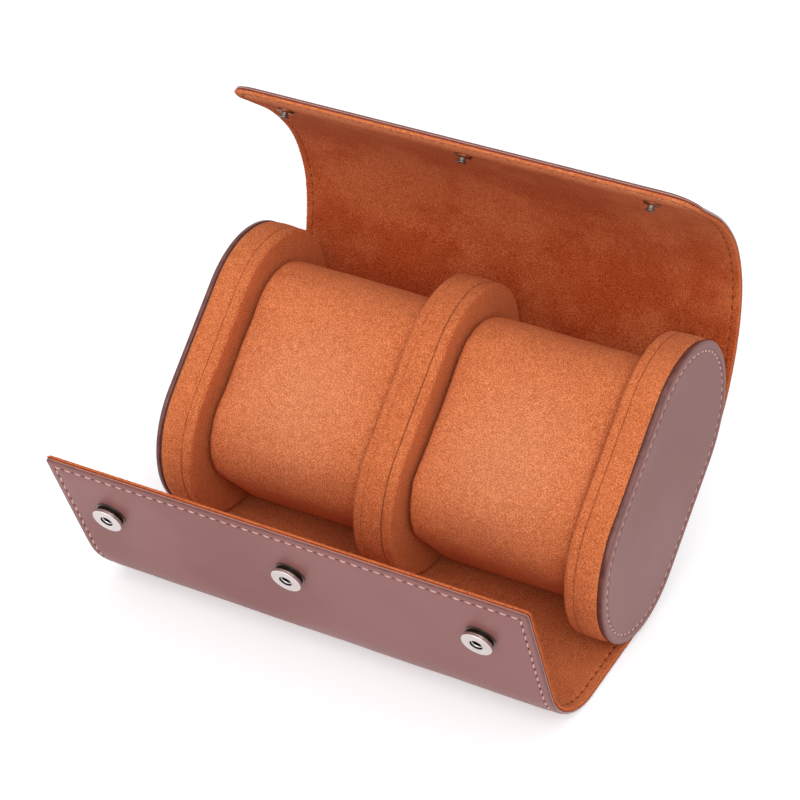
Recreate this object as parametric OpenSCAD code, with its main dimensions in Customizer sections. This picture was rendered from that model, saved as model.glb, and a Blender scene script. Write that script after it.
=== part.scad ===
// Two-bay watch travel case: a leather roll with two round-ended end walls, a divider,
// two lift-out watch cushions, a snap-down lid and a front flap.
// The origin is on the floor, midway along the case, straight below the axis of its lower round.

/* [Case] */
// Distance between the outer faces of the two end walls
case_len = 156; // [120:1:220]
// Radius of the round ends of the walls
round_r = 30; // [24:0.5:40]
// Straight run between the two rounds of a wall
wall_straight = 37; // [20:1:60]
// Angle at which the case leans back from the floor
lean = 46; // [35:1:60]
// Gap between the wall rims and the lining
rim_gap = 0.2; // [0.1:0.05:0.4]

/* [Wrap] */
// Thickness of the outer leather
leather_t = 1.5; // [1:0.1:2.5]
// Thickness of the suede lining
lining_t = 1; // [0.6:0.1:1.6]
// How far the wrap stands past each end wall
overhang = 1.5; // [0.5:0.25:3]
// How far the lining stays back from the leather's side edges
lining_inset = 0.4; // [0.2:0.1:1]
// Radius where the floor part of the leather turns up into the back
heel_r = 4; // [2:0.5:8]
// Gap between neighbouring stretches of the wrap at a fold line
fold_gap = 0.5; // [0.4:0.1:0.8]
// Slope of the stretch ends, which lets the wrap open past its rest shape
fold_bevel = 10; // [4:1:16]

/* [Flap] */
// Floor stretch that stays with the case, in front of the lower round
flap_stub = 7; // [4:0.5:10]
// Length of each of the two stretches that lie on the floor
flap_floor_len = 15; // [12:0.5:20]
// Length of the bent stretch, measured on the lining
flap_bend_len = 31; // [27:0.5:40]
// Turn of the bent stretch
flap_bend = 65; // [50:1:72]
// Length of the upright front stretch
flap_front_len = 45; // [36:0.5:56]
// Corner radius of the flap's front edge
flap_corner_r = 3; // [1:0.5:10]

/* [Lid] */
// Stretch above the back that stays with the case
lid_stub = 11; // [8:0.5:14]
// Turn of that stretch
lid_stub_turn = 12; // [8:1:16]
// Length of each of the four curved stretches, measured on the lining
lid_part_len = 22.5; // [19:0.5:28]
// Turn of the first curved stretch
lid_turn_1 = 21.5; // [14:0.5:26]
// Turn of the second curved stretch
lid_turn_2 = 20.5; // [14:0.5:26]
// Turn of the third curved stretch
lid_turn_3 = 24; // [14:0.5:28]
// Turn of the fourth curved stretch
lid_turn_4 = 17; // [10:0.5:24]
// Fold at the first hinge while the lid stands open
lid_fold_1 = -1; // [-3:0.5:6]
// Fold at the second hinge while the lid stands open
lid_fold_2 = -1; // [-3:0.5:6]
// Fold at the third hinge while the lid stands open
lid_fold_3 = 3; // [-3:0.5:6]
// Fold at the fourth hinge while the lid stands open
lid_fold_4 = 3.5; // [-3:0.5:6]
// Fold at the fifth hinge while the lid stands open
lid_fold_5 = 2; // [-3:0.5:6]
// Length of the straight edge stretch
lid_edge_len = 26.5; // [18:0.5:30]
// Corner radius of the lid's edge
lid_corner_r = 13; // [6:0.5:17]

/* [Walls] */
// Thickness of the leather on an end wall
end_leather_t = 1.4; // [1:0.1:2.4]
// Thickness of the board behind that leather
end_board_t = 1.6; // [1:0.1:3]
// Width of the padded rim band of an end wall
end_band_t = 6.6; // [4:0.2:10]
// Thickness of the padded inner face of an end wall
end_face_t = 3.4; // [2:0.2:6]
// Width of the padded rim band of the divider
divider_band_t = 7; // [4:0.2:12]
// Thickness of each padded face of the divider
divider_face_t = 3.3; // [2:0.1:6]
// Rounding of the padded edges
pad_edge_r = 1.4; // [0.5:0.1:1.6]
// Step from the rim band in to the seam beside it
seam_step = 0.5; // [0.2:0.1:1]

/* [Cushions] */
// Gap between a cushion and each wall beside it
cushion_gap = 0.6; // [0.4:0.1:1.5]
// Length of a cushion from its upper end to its lower end
cushion_len = 76; // [60:1:90]
// How far a cushion's front stays back from the rim of the walls
cushion_sink = 5.6; // [3:0.2:12]
// Gap between a cushion and the lining behind it
cushion_seat_gap = 0.4; // [0.3:0.1:1]
// Radius of the front corners of a cushion
cushion_corner_r = 20; // [10:1:24]

/* [Snaps] */
// Distance between neighbouring snaps
snap_pitch = 62.5; // [45:0.5:70]
// Sideways offset of the row of snaps
snap_shift = -1; // [-4:0.5:4]
// Diameter of a socket
socket_d = 9.8; // [8:0.2:13]
// Height of a socket above the leather
socket_h = 3; // [2.4:0.1:4]
// Distance from a socket's centre to the flap's front edge
socket_edge = 18.5; // [12:0.5:22]
// Distance from a stud's centre to the lid's edge
stud_edge = 13; // [7:0.5:14]
// Diameter of a stud's foot
stud_foot_d = 5.6; // [5:0.2:9]
// Diameter of a stud's nose
stud_nose_d = 3.2; // [3:0.1:5]
// Clearance between a nose and its socket, on the radius
snap_clear = 0.35; // [0.25:0.05:0.6]
// Diameter of the rivet barrels that hold the snaps
rivet_d = 3; // [2:0.1:3.6]
// Diameter of the domed caps on the lid
cap_d = 10; // [8:0.5:14]

/* [Hidden] */
$fn = 64;

leather_colour = [0.55, 0.38, 0.37];
suede_colour = [0.76, 0.40, 0.22];
metal_colour = [0.78, 0.77, 0.75];
board_colour = [0.45, 0.40, 0.34];

rad = PI / 180;
arc_step = 3;
wrap_t = leather_t + lining_t;
wrap_w = case_len + 2 * overhang;
axis_z = round_r + wrap_t;
half_len = case_len / 2;

// The flap and the lid are rows of stretches: [length on the lining, turn, fold at its hinge].
flap_parts = [
    [flap_floor_len, 0, 0], [flap_floor_len, 0, 0], [flap_bend_len, flap_bend, 0],
    [flap_front_len, 0, 0]];
lid_parts = [
    [lid_part_len, lid_turn_1, lid_fold_1], [lid_part_len, lid_turn_2, lid_fold_2],
    [lid_part_len, lid_turn_3, lid_fold_3], [lid_part_len, lid_turn_4, lid_fold_4],
    [lid_edge_len, 0, lid_fold_5]];

// A frame is [y, z, direction]: a point on the lining's inner face and the way the wrap runs on.
function after(f, part) =
    part[1] == 0
        ? [f[0] + part[0] * cos(f[2]), f[1] + part[0] * sin(f[2]), f[2]]
        : let (r = part[0] / (part[1] * rad))
            [f[0] + r * (sin(f[2] + part[1]) - sin(f[2])),
             f[1] - r * (cos(f[2] + part[1]) - cos(f[2])),
             f[2] + part[1]];
function folded(f, part) = [f[0], f[1], f[2] + part[2]];
function part_frame(f, parts, i) =
    i == 0
        ? folded(f, parts[0])
        : folded(after(part_frame(f, parts, i - 1), parts[i - 1]), parts[i]);

back_top = [
    wall_straight * cos(lean) + round_r * sin(lean),
    axis_z + wall_straight * sin(lean) - round_r * cos(lean),
    lean];
lid_start = after(back_top, [lid_stub, lid_stub_turn]);
// The flap is drawn running to the back and mirrored to the front.
flap_start = [flap_stub, wrap_t, 0];

// Point of a stretch at a length s along the lining and a depth o outwards through the wrap.
function part_point(part, s, o) =
    part[1] == 0
        ? [s, -o]
        : let (r = part[0] / (part[1] * rad), a = s / r / rad)
            [(r + o) * sin(a), r - (r + o) * cos(a)];
function end_trim(o) = fold_gap / 2 + o * tan(fold_bevel);
function part_line(part, o, n) =
    [for (i = [0:n]) part_point(part, end_trim(o) + (part[0] - 2 * end_trim(o)) * i / n, o)];
function backwards(line) = [for (i = [len(line) - 1:-1:0]) line[i]];

// Side view of one stretch of one layer between two depths.
module part_side(part, depth_in, depth_out) {
    n = max(1, ceil(part[1] / arc_step));
    polygon(concat(part_line(part, depth_in, n), backwards(part_line(part, depth_out, n))));
}

// Extrudes a side view, drawn as [y, z], along the case.
module along_case(width) {
    translate([-width / 2, 0, 0])
        rotate([90, 0, 90])
            linear_extrude(width)
                children();
}

module at_part(start, parts, i) {
    f = part_frame(start, parts, i);
    translate([0, f[0], f[1]])
        rotate([f[2], 0, 0])
            children();
}

module to_front() {
    mirror([0, 1, 0])
        children();
}

module snap_places(s) {
    for (k = [-1:1])
        translate([snap_shift + k * snap_pitch, s, 0])
            children();
}

// One layer of one stretch, in the stretch's own frame.
module layer(part, width, depth_in, depth_out) {
    along_case(width)
        part_side(part, depth_in, depth_out);
}

// Outline of a last stretch seen from outside, with its two free corners rounded.
module edge_outline(length, width, corner_r) {
    translate([-width / 2, 0])
        square([width, length - corner_r]);
    translate([corner_r - width / 2, 0])
        square([width - 2 * corner_r, length]);
    for (side = [-1, 1])
        translate([side * (width / 2 - corner_r), length - corner_r])
            circle(corner_r);
}

module edge_layer(part, width, corner_r, depth_in, depth_out) {
    intersection() {
        layer(part, width, depth_in, depth_out);
        translate([0, 0, -depth_out - 1])
            linear_extrude(depth_out - depth_in + 2)
                edge_outline(part[0] - end_trim(0), width, corner_r);
    }
}

// ---- the fixed stretch of the wrap: floor, lower round, back and the foot of the lid ----

function root_arc(o) =
    [for (a = [0:2:lean]) [(round_r + o) * sin(a), axis_z - (round_r + o) * cos(a)]];
function root_stub(o) =
    [for (i = [0:4])
        let (p = part_point([lid_stub, lid_stub_turn], (lid_stub - end_trim(o)) * i / 4, o))
            [back_top[0] + p[0] * cos(lean) - p[1] * sin(lean),
             back_top[1] + p[0] * sin(lean) + p[1] * cos(lean)]];
function root_line(o) =
    concat([[end_trim(o) - flap_stub, wrap_t - o]], root_arc(o), root_stub(o));

heel_y = axis_z * tan(lean / 2) - heel_r * tan(lean / 2);
heel_line = concat(
    [[end_trim(wrap_t) - flap_stub, 0]],
    [for (a = [0:lean / 8:lean]) [heel_y + heel_r * sin(a), heel_r - heel_r * cos(a)]],
    root_stub(wrap_t));

module back_leather() {
    color(leather_colour)
        along_case(wrap_w)
            polygon(concat(root_line(lining_t), backwards(heel_line)));
}

module back_lining() {
    color(suede_colour)
        along_case(wrap_w - 2 * lining_inset)
            polygon(concat(root_line(0), backwards(root_line(lining_t))));
}

// ---- walls: round-ended plates that stand across the case ----

// Rim section of a plate, from its middle out to its rounded rim.
module rim_section(thickness, radius, edge) {
    arc = [for (a = [0:15:90]) a];
    polygon(concat(
        [[0, 0]],
        [for (a = arc) [radius - edge + edge * sin(a), edge - edge * cos(a)]],
        [for (a = arc) [radius - edge + edge * cos(a), thickness - edge + edge * sin(a)]],
        [[0, thickness]]));
}

// A plate lying flat: two half rounds and the straight run between them.
module flat_plate(thickness, radius, edge) {
    rotate([0, 0, 90])
        rotate_extrude(angle = 180)
            rim_section(thickness, radius, edge);
    translate([wall_straight, 0, 0])
        rotate([0, 0, -90])
            rotate_extrude(angle = 180)
                rim_section(thickness, radius, edge);
    for (side = [0, 1])
        mirror([0, side, 0])
            rotate([90, 0, 90])
                linear_extrude(wall_straight)
                    rim_section(thickness, radius, edge);
}

// The walls' own frame: +Y up the leaning back, +Z out of the open side, lower round at the origin.
module in_case() {
    translate([0, 0, axis_z])
        rotate([lean, 0, 0])
            children();
}

module wall_plate(x, thickness, inset, edge) {
    in_case()
        translate([x, 0, 0])
            rotate([90, 0, 90])
                flat_plate(thickness, round_r - rim_gap - inset, edge);
}

end_edge_r = min(0.6, end_leather_t * 0.45);
end_face_x = half_len - end_leather_t - end_board_t - end_band_t - end_face_t;

module left_end_leather() {
    color(leather_colour)
        wall_plate(-half_len, end_leather_t, 0, end_edge_r);
}

module right_end_leather() {
    color(leather_colour)
        wall_plate(half_len - end_leather_t, end_leather_t, 0, end_edge_r);
}

module left_end_board() {
    color(board_colour)
        wall_plate(-half_len + end_leather_t, end_board_t, 0.4, 0.1);
}

module right_end_board() {
    color(board_colour)
        wall_plate(half_len - end_leather_t - end_board_t, end_board_t, 0.4, 0.1);
}

module left_pad_band() {
    color(suede_colour)
        wall_plate(-end_face_x - end_face_t - end_band_t, end_band_t, 0, pad_edge_r);
}

module right_pad_band() {
    color(suede_colour)
        wall_plate(end_face_x + end_face_t, end_band_t, 0, pad_edge_r);
}

module left_pad_face() {
    color(suede_colour)
        wall_plate(-end_face_x - end_face_t, end_face_t, seam_step, pad_edge_r);
}

module right_pad_face() {
    color(suede_colour)
        wall_plate(end_face_x, end_face_t, seam_step, pad_edge_r);
}

module divider_band() {
    color(suede_colour)
        wall_plate(-divider_band_t / 2, divider_band_t, 0, pad_edge_r);
}

module divider_left_face() {
    color(suede_colour)
        wall_plate(-divider_band_t / 2 - divider_face_t, divider_face_t, seam_step, pad_edge_r);
}

module divider_right_face() {
    color(suede_colour)
        wall_plate(divider_band_t / 2, divider_face_t, seam_step, pad_edge_r);
}

// ---- cushions ----

bay_low = divider_band_t / 2 + divider_face_t;
bay_w = end_face_x - bay_low;
cushion_w = bay_w - 2 * cushion_gap;
cushion_front = round_r - cushion_sink;
cushion_mid = wall_straight / 2;

// Side view in the walls' frame: round front corners, and a back that follows the lining.
module cushion_side() {
    seat_r = round_r - cushion_seat_gap;
    c = cushion_corner_r;
    low = cushion_mid - cushion_len / 2;
    high = cushion_mid + cushion_len / 2;
    intersection() {
        union() {
            translate([low, -round_r])
                square([cushion_len, round_r + cushion_front - c]);
            translate([low + c, -round_r])
                square([cushion_len - 2 * c, round_r + cushion_front]);
            for (y = [low + c, high - c])
                translate([y, cushion_front - c])
                    circle(c);
        }
        union() {
            translate([0, -seat_r])
                square([wall_straight, seat_r + round_r]);
            for (y = [0, wall_straight])
                translate([y, 0])
                    circle(seat_r);
        }
    }
}

module cushion(x) {
    color(suede_colour)
        in_case()
            translate([x, 0, 0])
                rotate([90, 0, 90])
                    linear_extrude(cushion_w)
                        cushion_side();
}

module left_cushion() {
    cushion(-bay_low - cushion_gap - cushion_w);
}

module right_cushion() {
    cushion(bay_low + cushion_gap);
}

// ---- flap and lid ----

lining_w = wrap_w - 2 * lining_inset;

module flap_leather(i) {
    color(leather_colour)
        to_front()
            at_part(flap_start, flap_parts, i)
                layer(flap_parts[i], wrap_w, lining_t, wrap_t);
}

module flap_lining(i) {
    color(suede_colour)
        to_front()
            at_part(flap_start, flap_parts, i)
                layer(flap_parts[i], lining_w, 0, lining_t);
}

module lid_leather(i) {
    color(leather_colour)
        at_part(lid_start, lid_parts, i)
            layer(lid_parts[i], wrap_w, lining_t, wrap_t);
}

module lid_lining(i) {
    color(suede_colour)
        at_part(lid_start, lid_parts, i)
            layer(lid_parts[i], lining_w, 0, lining_t);
}

module flap_root_leather() {
    flap_leather(0);
}

module flap_root_lining() {
    flap_lining(0);
}

module flap_floor_leather() {
    flap_leather(1);
}

module flap_floor_lining() {
    flap_lining(1);
}

module flap_bend_leather() {
    flap_leather(2);
}

module flap_bend_lining() {
    flap_lining(2);
}

module lid_root_leather() {
    lid_leather(0);
}

module lid_root_lining() {
    lid_lining(0);
}

module lid_lower_leather() {
    lid_leather(1);
}

module lid_lower_lining() {
    lid_lining(1);
}

module lid_middle_leather() {
    lid_leather(2);
}

module lid_middle_lining() {
    lid_lining(2);
}

module lid_upper_leather() {
    lid_leather(3);
}

module lid_upper_lining() {
    lid_lining(3);
}

// ---- snaps ----

socket_s = flap_front_len - socket_edge;
stud_s = lid_edge_len - stud_edge;
rivet_hole_d = rivet_d + 0.2;
rivet_foot_d = 8;
rivet_foot_t = 0.5;
rivet_pocket = 0.1;

// Holes for the rivets through the leather. Below, the lining's pockets hide the rivets' feet.
module rivet_holes(s) {
    snap_places(s)
        translate([0, 0, -wrap_t - 1])
            cylinder(h = wrap_t + 2, d = rivet_hole_d);
}

module rivet_pockets(s) {
    snap_places(s)
        translate([0, 0, -lining_t - 1])
            cylinder(h = 1 + rivet_foot_t + rivet_pocket, d = rivet_foot_d + 0.3);
}

module flap_front_leather() {
    color(leather_colour)
        to_front()
            at_part(flap_start, flap_parts, 3)
                difference() {
                    edge_layer(flap_parts[3], wrap_w, flap_corner_r, lining_t, wrap_t);
                    rivet_holes(socket_s);
                }
}

module flap_front_lining() {
    color(suede_colour)
        to_front()
            at_part(flap_start, flap_parts, 3)
                difference() {
                    edge_layer(flap_parts[3], lining_w, flap_corner_r, 0, lining_t);
                    rivet_pockets(socket_s);
                }
}

module lid_edge_leather() {
    color(leather_colour)
        at_part(lid_start, lid_parts, 4)
            difference() {
                edge_layer(lid_parts[4], wrap_w, lid_corner_r, lining_t, wrap_t);
                rivet_holes(stud_s);
            }
}

module lid_edge_lining() {
    color(suede_colour)
        at_part(lid_start, lid_parts, 4)
            difference() {
                edge_layer(lid_parts[4], lining_w, lid_corner_r, 0, lining_t);
                rivet_holes(stud_s);
            }
}

socket_bore_r = stud_nose_d / 2 + snap_clear;
socket_floor = 0.7;
spring_wire_r = 0.3;
// The ring spring stands half a wire's radius into its groove and shows round the bore.
spring_r = socket_bore_r - spring_wire_r / 2;
spring_z = socket_h - 0.75;
groove_r = socket_bore_r + 0.45;
groove_h = 0.8;

// Section of a socket: a foot, a flat disc on a waist, and a bore with a groove for the ring spring.
module socket_section() {
    r = socket_d / 2;
    waist_r = r - 0.35;
    polygon([
        [rivet_hole_d / 2, 0], [r, 0], [r, 0.4], [waist_r, 0.55],
        [waist_r, socket_h - 1.35], [r, socket_h - 1.1], [r, socket_h - 0.2], [r - 0.2, socket_h],
        [socket_bore_r + 0.15, socket_h], [socket_bore_r, socket_h - 0.15],
        [socket_bore_r, spring_z + groove_h / 2], [groove_r, spring_z + groove_h / 2],
        [groove_r, spring_z - groove_h / 2], [socket_bore_r, spring_z - groove_h / 2],
        [socket_bore_r, socket_floor], [rivet_hole_d / 2, socket_floor]]);
}

// Everything on the flap's outer face stands on the leather, pointing outwards.
module on_flap() {
    to_front()
        at_part(flap_start, flap_parts, 3)
            snap_places(socket_s)
                translate([0, 0, -wrap_t])
                    mirror([0, 0, 1])
                        children();
}

module snap_sockets() {
    color(metal_colour)
        on_flap()
            rotate_extrude()
                socket_section();
}

module snap_springs() {
    color(metal_colour)
        on_flap()
            translate([0, 0, spring_z])
                rotate([0, 0, 20])
                    rotate_extrude(angle = 320)
                        translate([spring_r, 0])
                            circle(spring_wire_r, $fn = 16);
}

// The rivet's foot lies in the lining's pocket, and its barrel ends spread on the socket's floor.
module snap_rivets() {
    color(metal_colour)
        on_flap() {
            translate([0, 0, -leather_t - rivet_foot_t])
                cylinder(h = rivet_foot_t, d = rivet_foot_d);
            translate([0, 0, -leather_t - rivet_foot_t / 2])
                cylinder(h = leather_t + socket_floor + rivet_foot_t / 2, d = rivet_d);
            translate([0, 0, socket_floor])
                cylinder(h = 0.3, d1 = rivet_d + 0.6, d2 = rivet_d);
        }
}

stud_foot_t = 0.8;
nose_h = 1.8;

// Section of a stud: a flat foot, a neck for the spring, and a bead with a dimple in its tip.
module stud_section() {
    bead_r = stud_nose_d / 2;
    neck_r = bead_r - 0.5;
    tip = stud_foot_t + nose_h;
    polygon([
        [0, 0], [stud_foot_d / 2, 0], [stud_foot_d / 2, 0.4], [stud_foot_d / 2 - 0.4, stud_foot_t],
        [neck_r, stud_foot_t], [neck_r, tip - 0.8], [bead_r, tip - 0.55], [bead_r, tip - 0.3],
        [bead_r - 0.3, tip], [bead_r - 0.65, tip], [bead_r - 0.95, tip - 0.4], [0, tip - 0.4]]);
}

module on_lid() {
    at_part(lid_start, lid_parts, 4)
        snap_places(stud_s)
            children();
}

module snap_studs() {
    color(metal_colour)
        on_lid()
            rotate_extrude()
                stud_section();
}

cap_h = 1.5;

// A domed cap on the leather, with the barrel that runs through to the foot of the stud.
module cap_section() {
    r = cap_d / 2;
    rim = 0.35;
    dome_h = cap_h - rim;
    dome_r = (r * r + dome_h * dome_h) / (2 * dome_h);
    polygon(concat(
        [[0, wrap_t], [rivet_d / 2, wrap_t], [rivet_d / 2, 0], [r, 0]],
        [for (i = [0:8])
            let (x = r * (1 - i / 8))
                [x, dome_r - cap_h - sqrt(dome_r * dome_r - x * x)]]));
}

module snap_caps() {
    color(metal_colour)
        on_lid()
            translate([0, 0, -wrap_t])
                rotate_extrude()
                    cap_section();
}

back_leather();
back_lining();
left_end_leather();
right_end_leather();
left_end_board();
right_end_board();
left_pad_band();
right_pad_band();
left_pad_face();
right_pad_face();
divider_band();
divider_left_face();
divider_right_face();
left_cushion();
right_cushion();
flap_root_leather();
flap_root_lining();
flap_floor_leather();
flap_floor_lining();
flap_bend_leather();
flap_bend_lining();
flap_front_leather();
flap_front_lining();
lid_root_leather();
lid_root_lining();
lid_lower_leather();
lid_lower_lining();
lid_middle_leather();
lid_middle_lining();
lid_upper_leather();
lid_upper_lining();
lid_edge_leather();
lid_edge_lining();
snap_sockets();
snap_springs();
snap_rivets();
snap_studs();
snap_caps();
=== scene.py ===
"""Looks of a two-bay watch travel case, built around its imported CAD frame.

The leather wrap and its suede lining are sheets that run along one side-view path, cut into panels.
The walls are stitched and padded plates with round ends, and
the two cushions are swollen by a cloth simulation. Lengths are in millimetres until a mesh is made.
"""

import math

import bpy
import numpy as np
from mathutils import Matrix, Vector


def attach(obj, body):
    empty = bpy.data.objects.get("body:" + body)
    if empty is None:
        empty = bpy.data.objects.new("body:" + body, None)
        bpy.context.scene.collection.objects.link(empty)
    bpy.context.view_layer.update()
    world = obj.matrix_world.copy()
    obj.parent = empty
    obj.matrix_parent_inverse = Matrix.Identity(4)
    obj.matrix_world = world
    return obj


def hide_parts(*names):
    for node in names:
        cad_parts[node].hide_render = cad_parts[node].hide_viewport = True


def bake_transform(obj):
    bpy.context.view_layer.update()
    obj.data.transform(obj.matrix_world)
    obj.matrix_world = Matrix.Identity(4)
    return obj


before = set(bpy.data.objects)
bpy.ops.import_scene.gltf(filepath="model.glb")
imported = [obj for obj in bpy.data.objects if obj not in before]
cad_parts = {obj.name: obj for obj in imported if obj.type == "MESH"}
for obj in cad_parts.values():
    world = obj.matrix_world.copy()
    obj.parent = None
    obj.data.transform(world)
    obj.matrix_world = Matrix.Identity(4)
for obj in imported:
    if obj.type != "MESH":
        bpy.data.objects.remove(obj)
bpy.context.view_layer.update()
MM = 0.001

# ---- sizes, as in the CAD source ----

CASE_LEN = 156.0
ROUND_R = 30.0  # of the walls' ends
WALL_STRAIGHT = 37.0  # between those ends
LEAN = 46.0  # degrees from the floor
LEATHER_T = 1.5
LINING_T = 1.0
WRAP_T = LEATHER_T + LINING_T
OVERHANG = 1.5  # how far the wrap stands past each end wall
WRAP_HALF = CASE_LEN / 2 + OVERHANG
LINING_INSET = 0.05  # how far the lining stays back from the leather's edges
HEEL_R = 4.0  # where the floor part of the leather turns up into the back
AXIS_Z = ROUND_R + WRAP_T

# The wrap from the flap's free edge to the lid's: body, length on the lining, turn, and the fold
# where it starts. Millimetres and degrees.
STRETCHES = [
    ("flap_front", 45.0, 0.0, 0.0),
    ("flap_bend", 31.0, 65.0, 0.0),
    ("flap_floor", 15.0, 0.0, 0.0),
    ("flap_root", 15.0, 0.0, 0.0),
    ("case", 7.0, 0.0, 0.0),
    ("case", ROUND_R * math.radians(LEAN), LEAN, 0.0),
    ("case", WALL_STRAIGHT, 0.0, 0.0),
    ("case", 11.0, 12.0, 0.0),
    ("lid_root", 22.5, 21.5, -1.0),
    ("lid_lower", 22.5, 20.5, -1.0),
    ("lid_middle", 22.5, 24.0, 3.0),
    ("lid_upper", 22.5, 17.0, 3.5),
    ("lid_edge", 26.5, 0.0, 2.0),
]
FLAP_TURN = -65.0  # the path's first direction
TIP_TRIM = 0.25  # the sheets' free edges lie this far in from the path's ends
FLAP_CORNER_R = 1.2
LID_CORNER_R = 11.0
HEEL_FILL = 0.2  # how much of the CAD's heel the soft leather shows

# ---- the wrap's path in the side view ----


def running(steps):
    """The sum of all steps up to each, from 0."""
    return np.concatenate([[0.0], np.cumsum(steps)])


ENDS = running([s[1] for s in STRETCHES])
ANGLES = np.radians(FLAP_TURN + running([s[2] for s in STRETCHES]))
WRAP_LEN = ENDS[-1]
ROUND_START = ENDS[5]
ROUND_END = ENDS[6]
PATH_STEP = 0.05
PATH_MORE = 4.0  # how far the path runs on past the sheets
FOLD_SPREAD = 8.0  # the length that a fold's turn is spread over
PATH_S = np.linspace(-PATH_MORE, WRAP_LEN + PATH_MORE, int(WRAP_LEN / PATH_STEP) + 1)
PATH_A = np.interp(PATH_S, ENDS, ANGLES)
for hinge, (_, _, _, fold) in zip(ENDS, STRETCHES):
    spread = [hinge - FOLD_SPREAD / 2, hinge + FOLD_SPREAD / 2]
    PATH_A += np.interp(PATH_S, spread, [0.0, math.radians(fold)])


def run_on(slope):
    """Running sum of a slope along the path, 0 where the lower round starts."""
    line = running((slope[1:] + slope[:-1]) / 2 * np.diff(PATH_S))
    return line - np.interp(ROUND_START, PATH_S, line)


PATH_Y = run_on(np.cos(PATH_A))
PATH_Z = run_on(np.sin(PATH_A)) + WRAP_T

# The leather gives: half its width along the path, a slip to one side, how far the flap's free
# edge creeps out, how far the lid's curls back, and how far the flap's bend draws in.
WIDTH_S = [0, ENDS[2], ROUND_START, ENDS[8], WRAP_LEN - 30, WRAP_LEN]
WIDTH_HALF = [80.3, 79.6, 77.4, 77.6, 78.0, 79.4]
WRAP_SLIP = -0.7
FLAP_CREEP = 1.5
CREEP_OVER = 25.0
LID_CURL = 1.1
LID_CURL_OVER = 12.0
BEND_EASE = 0.7
BEND_MIDDLE = 60.0
BEND_OVER = 20.0


def smooth_step(t):
    """Rises smoothly from 0 to 1 as t does."""
    t = np.clip(t, 0, 1)
    return t * t * (3 - 2 * t)


def on_wrap(x, s, depth):
    """Points at x along the case, s along the lining and a depth outwards through the wrap."""
    x = x * np.interp(s, WIDTH_S, WIDTH_HALF) / WRAP_HALF + WRAP_SLIP
    depth = depth + LID_CURL * smooth_step(1 - (WRAP_LEN - s) / LID_CURL_OVER)
    depth = depth - BEND_EASE * (1 - smooth_step(np.abs(s - BEND_MIDDLE) / BEND_OVER))
    s = s - FLAP_CREEP * smooth_step(1 - s / CREEP_OVER)
    a = np.interp(s, PATH_S, PATH_A)
    y = np.interp(s, PATH_S, PATH_Y) + depth * np.sin(a)
    z = np.interp(s, PATH_S, PATH_Z) - depth * np.cos(a)
    return np.stack(np.broadcast_arrays(x, y, z), -1)


def full_depth(s):
    """Depth of the leather's outer face. Under the lower round it swells towards the heel."""
    half = math.radians(LEAN / 2)
    off = np.abs((s - ROUND_START) / ROUND_R - half)
    flat = AXIS_Z / np.cos(half - off)
    reach = (AXIS_Z - HEEL_R) / math.cos(half)
    sway = reach * np.sin(off)
    curve = reach * np.cos(off) + np.sqrt(np.maximum(HEEL_R**2 - sway**2, 0))
    heel_off = half - math.atan((AXIS_Z - HEEL_R) * math.tan(half) / AXIS_Z)
    filled = WRAP_T + HEEL_FILL * (np.where(off < heel_off, curve, flat) - ROUND_R - WRAP_T)
    return np.where((s > ROUND_START) & (s < ROUND_END), filled, WRAP_T)


def rim_distance(x, s, half):
    """How far a point of a sheet lies in from the sheet's outline."""
    side = half - np.abs(x)
    trim = TIP_TRIM + WRAP_HALF - half
    d = side
    for tip, r in ((s - trim, FLAP_CORNER_R), (WRAP_LEN - trim - s, LID_CORNER_R)):
        corner = (side < r) & (tip < r)
        round_d = r - np.hypot(r - side, r - tip)
        d = np.minimum(d, np.where(corner, round_d, tip))
    return np.maximum(d, 0)


def row_half(s, half):
    """Half the width of a sheet at s, less inside the rounded corners of its two free edges."""
    trim = TIP_TRIM + WRAP_HALF - half
    w = np.full_like(s, half)
    for tip, r in ((s - trim, FLAP_CORNER_R), (WRAP_LEN - trim - s, LID_CORNER_R)):
        inside = np.clip(r - tip, 0, r)
        w = np.minimum(w, half - r + np.sqrt(r * r - inside * inside))
    return w


# ---- small helpers ----

OCTAVES = 3
WAVES_EACH = 6
WAVE_SUM = 3.5  # what the sum of one octave's waves is divided by
OCTAVE_FALL = 1.8


def waves(p, scale, seed):
    """Smooth random field on points p, about -1 to 1, the same on every run."""
    rng = np.random.default_rng(seed)
    total = np.zeros(len(p))
    for octave in range(OCTAVES):
        k = rng.normal(size=(WAVES_EACH, p.shape[1]))
        k *= 2 * math.pi / (scale / 2**octave) / np.linalg.norm(k, axis=1)[:, None]
        phase = rng.uniform(0, 2 * math.pi, WAVES_EACH)
        total += np.sin(p @ k.T + phase).sum(1) / (WAVE_SUM * OCTAVE_FALL**octave)
    return total


def make_object(name, points, faces, materials, face_material=None):
    """A mesh object from points in millimetres, shaded smooth."""
    mesh = bpy.data.meshes.new(name)
    mesh.from_pydata((np.asarray(points) * MM).tolist(), [], faces)
    mesh.validate()
    for material in materials:
        mesh.materials.append(material)
    if face_material is not None:
        mesh.polygons.foreach_set("material_index", face_material)
    mesh.polygons.foreach_set("use_smooth", [True] * len(mesh.polygons))
    obj = bpy.data.objects.new(name, mesh)
    bpy.context.scene.collection.objects.link(obj)
    return obj


def add_attributes(obj, **values):
    """Numbers that the materials read at each point. Leather reads only rim.

    rim is the distance in from a sheet's cut edge, less than 0 on its back. The other three, in
    this
    order, are shares from 0 to 1: painted shade in a seam, painted light that turns the suede pale,
    and painted shade that turns it deep in colour.
    """
    for name, numbers in values.items():
        attribute = obj.data.attributes.new(name, "FLOAT", "POINT")
        attribute.data.foreach_set("value", np.asarray(numbers, np.float32))


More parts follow.
